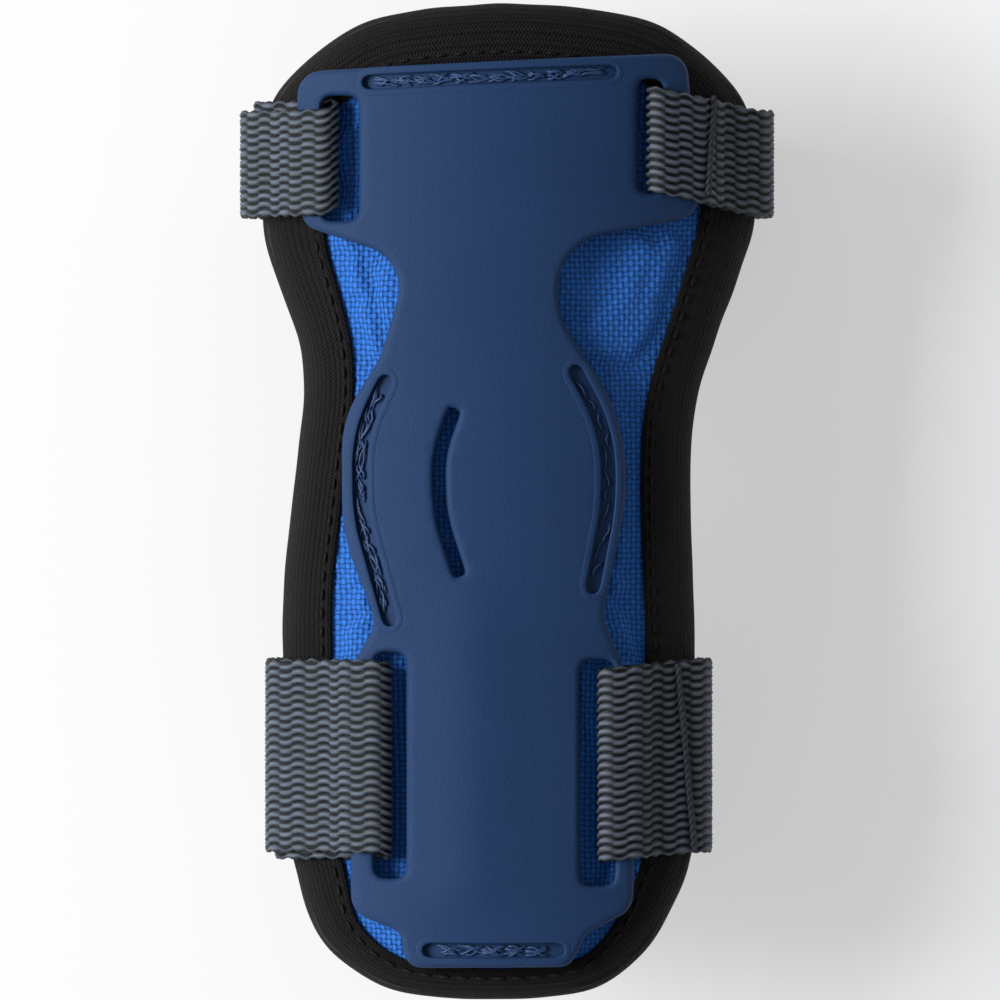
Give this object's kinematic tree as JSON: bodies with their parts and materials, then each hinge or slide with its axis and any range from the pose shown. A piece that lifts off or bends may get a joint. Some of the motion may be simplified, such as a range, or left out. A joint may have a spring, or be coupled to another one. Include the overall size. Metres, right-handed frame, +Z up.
{
  "type": "wrist guard",
  "caption": "Junior wrist guard: slate-blue splint plate sewn to a bright-blue padded panel, black binding, grey hook-and-loop straps.",
  "frame": {"origin": "on the floor, under the middle of the guard as it lies strapped shut on the backs of its straps", "axes": "+Y points to the fingers, along the guard; +Z up, out through the splint plate; +X right, seen from above"},
  "size_m": [0.0866, 0.1601, 0.051],
  "materials": {
    "plate_plastic": "fine pebbled moulding grain",
    "blue_cloth": "plain-weave nylon",
    "foam": "soft closed-cell foam",
    "lining": "brushed knit",
    "black_tape": "knitted binding tape",
    "black_thread": "sewing thread",
    "blue_thread": "sewing thread",
    "webbing": "plain-woven polyester webbing",
    "grey_thread": "sewing thread",
    "loop_tape": "napped loop tape",
    "hook_tape": "hook tape"
  },
  "bodies": {
    "guard": {"splint_plate": "plate_plastic", "face_cloth": "blue_cloth", "foam_core": "foam", "inner_lining": "lining", "edge_binding": "black_tape", "binding_stitching": "black_thread", "top_groove_stitching": "blue_thread", "left_groove_stitching": "blue_thread", "right_groove_stitching": "blue_thread", "foot_groove_stitching": "blue_thread", "upper_strap_run": "webbing", "upper_strap_seam": "grey_thread", "upper_loop_patch": "loop_tape", "upper_loop_stitching": "grey_thread", "lower_strap_run": "webbing", "lower_strap_seam": "grey_thread", "lower_loop_patch": "loop_tape", "lower_loop_stitching": "grey_thread"},
    "upper_side": {"upper_strap_side": "webbing"},
    "upper_end": {"upper_strap_end": "webbing", "upper_hook_patch": "hook_tape"},
    "lower_side": {"lower_strap_side": "webbing"},
    "lower_end": {"lower_strap_end": "webbing", "lower_hook_patch": "hook_tape"}
  },
  "joints": [
    {"name": "upper_side_lift", "type": "hinge", "parent": "guard", "child": "upper_side", "pos_m": [-0.0307, 0.0545, 0.04531], "axis": [0, 1, 0], "range_deg": [0, 170]},
    {"name": "upper_end_peel", "type": "hinge", "parent": "upper_side", "child": "upper_end", "pos_m": [-0.01565, 0.0545, 0], "axis": [0, 1, 0], "range_deg": [0, 120]},
    {"name": "lower_side_lift", "type": "hinge", "parent": "guard", "child": "lower_side", "pos_m": [-0.02176, -0.0413, 0.04904], "axis": [0, 1, 0], "range_deg": [0, 170]},
    {"name": "lower_end_peel", "type": "hinge", "parent": "lower_side", "child": "lower_end", "pos_m": [-0.01155, -0.0413, 0], "axis": [0, 1, 0], "range_deg": [0, 120]}
  ]
}
